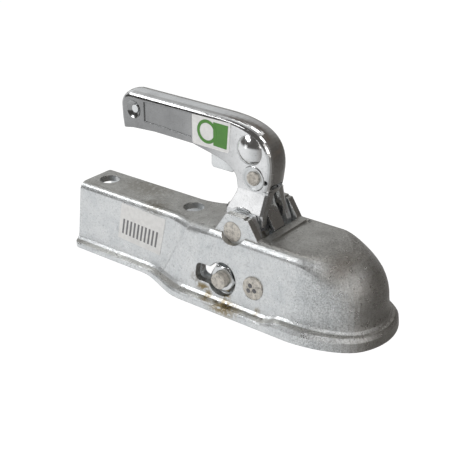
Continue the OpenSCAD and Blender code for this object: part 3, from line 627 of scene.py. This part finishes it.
add_camera()
add_world()
add_floor()
bpy.context.scene.view_settings.view_transform = "Standard"
add_area("key", (-0.55, -0.46, 0.66), 0.9, 0.60, 1.9, size_y=0.20)
add_area("low_lamp", (-0.56, -0.83, 0.16), 1.0, 0.26, 0.24)
add_area("dome_lamp", (0.40, -0.15, 0.90), 0.9, 0.22, 0.8)
add_area("back_strip", (-0.15, 0.35, 1.0), 1.0, 0.7, 0.9, size_y=0.10)
add_area("front", (0.78, -0.45, 0.50), 0.9, 0.5, 2.2, (1.0, 0.97, 0.94))

sheet = galvanised("galvanised_sheet", STAINS)
# A painted shadow: the inner plates are blended to near black round the nut, where they lie in shade.
PAINTED_SHADOW_BEHIND_NUT = ((-57.0, -20, 17.0), 12, (0.03, 0.03, 0.03), 1.0, (1, 0.3, 1))
inner = galvanised("galvanised_inner", [PAINTED_SHADOW_BEHIND_NUT], False)
handle = zinc("handle_zinc", shade=[(0.33, 1.0), (0.45, 0.50), (0.62, 0.38), (1.0, 0.42)])
plain_zinc = zinc("plain_zinc", (0.74, 0.76, 0.77), (0.18, 0.30))
peened = cast_grey("peened_rivet", (0.60, 0.57, 0.52))
# A dark steel used only on the lap edge's wall, as a painted shadow line.
dark = oiled("painted_shadow_steel", (0.26, 0.29, 0.33))
spring = oiled("spring_steel", (0.20, 0.20, 0.21))
for node, material in {
        "body_shell": sheet, "inner_plate_left": inner, "inner_plate_right": inner, "pivot_pin": peened,
        "jaw_rivet": peened, "jaw_spacer_left": plain_zinc, "jaw_spacer_right": plain_zinc,
        "cross_bolt": peened,
        "hex_nut": plain_zinc, "bolt_sleeve": plain_zinc, "clamp_jaw": plain_zinc, "handle_shell": handle,
        "cam_pin": peened, "tip_rivet": plain_zinc, "catch_rivet": peened, "safety_catch": plain_zinc,
        "closing_spring": spring, "catch_spring": spring}.items():
    set_material(node, material)

add_lap_edge(sheet, dark)
add_nut(plain_zinc)

white = paper("label_white", (0.80, 0.80, 0.79))
green = paper("label_green", (0.06, 0.235, 0.02))
grey = paper("label_grey", (0.16, 0.16, 0.17))
# The near face of the grip, in mm along Y
GRIP_FACE_Y = -8.5
GRIP_LABEL = [(-100.6, 108.3), (-100.4, 90.0), (-73.2, 89.6), (-71.6, 108.4)]
GRIP_BLOCK = [(-84.5, 106.6), (-84.5, 92.0), (-74.6, 91.6), (-73.4, 106.4)]
flat_label("grip_label", GRIP_LABEL, GRIP_FACE_Y, 0.03, white, "handle")
flat_label("grip_label_block", GRIP_BLOCK, GRIP_FACE_Y, 0.16, green, "handle", 0.05, 0.5)
ring_label("grip_label_ring", (-89.2, 99.6), 5.4, 7.4, GRIP_FACE_Y, 0.22, green, "handle")
SIDE_LABEL = [(-154.2, 38.6), (-156.2, 14.8), (-119.6, 12.6), (-116.8, 37.6)]
draped_label("side_label", SIDE_LABEL, 0.05, white, "head", "body_shell")


def part_of_label(x0, x1, z0, z1):
    """Corners of a patch of the side label, given as shares of it from its rear and from its top."""
    tr, lr, lf, tf = (Vector(c) for c in SIDE_LABEL)
    place = lambda s, t: (tr * (1 - s) + tf * s) * (1 - t) + (lr * (1 - s) + lf * s) * t
    return [place(x0, z0), place(x0, z1), place(x1, z1), place(x1, z0)]


for i, (x0, x1) in enumerate([(0.08 + 0.085 * k, 0.08 + 0.085 * k + 0.04) for k in range(10)]):
    draped_label(f"side_label_stripe_{i + 1}", part_of_label(x0, x1, 0.42, 0.84), 0.19, grey, "head",
                 "body_shell", 0.02, 2, 6)
# The upset end of the catch rivet, a round ring with a dished middle, in a dished seat
CATCH_RIVET_AT = Vector((-55.2, 0, 78.4)) * MM
# Distance from the middle plane and radius, in mm
HEAD_PROFILE = [(7.6, 3.9), (9.0, 4.4), (9.7, 4.0), (9.95, 3.3), (9.6, 2.7), (8.9, 2.2), (9.0, 1.3),
                (9.5, 0.8), (9.6, 0.01)]
SEAT_PROFILE = [(8.4, 7.9), (8.95, 7.4), (9.1, 6.9), (8.9, 6.3), (8.62, 5.6), (8.6, 4.4)]
for side, name in ((-1, "right"), (1, "left")):
    for kind, profile, look in (("head", HEAD_PROFILE, peened), ("seat", SEAT_PROFILE, plain_zinc)):
        vertices, faces = revolve([(side * y * MM, r * MM) for y, r in profile])
        if side < 0:
            faces = [tuple(reversed(f)) for f in faces]
        add_piece(f"catch_rivet_{kind}_{name}", [v + CATCH_RIVET_AT for v in vertices], faces, look, "handle",
                  True)
# Three punch marks in the end of the jaw rivet: a raised rim round a pit; the whole mark takes the dark spring
# steel, a painted shade for the pit; height and radius in mm
PUNCH_PROFILE = [(0.02, 1.5), (0.22, 1.25), (0.26, 1.0), (0.06, 0.75), (0.04, 0.01)]
RIVET_FACE_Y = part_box("jaw_rivet")[0][1]
for i, (x, z) in enumerate(((-41.2, 21.8), (-38.2, 19.2), (-42.4, 18.2))):
    vertices, faces = revolve([(-y * MM, r * MM) for y, r in PUNCH_PROFILE], 24)
    place = Vector((x * MM, RIVET_FACE_Y, z * MM))
    faces = [tuple(reversed(f)) for f in faces]
    add_piece(f"punch_mark_{i + 1}", [v + place for v in vertices], faces, spring, "head", True)
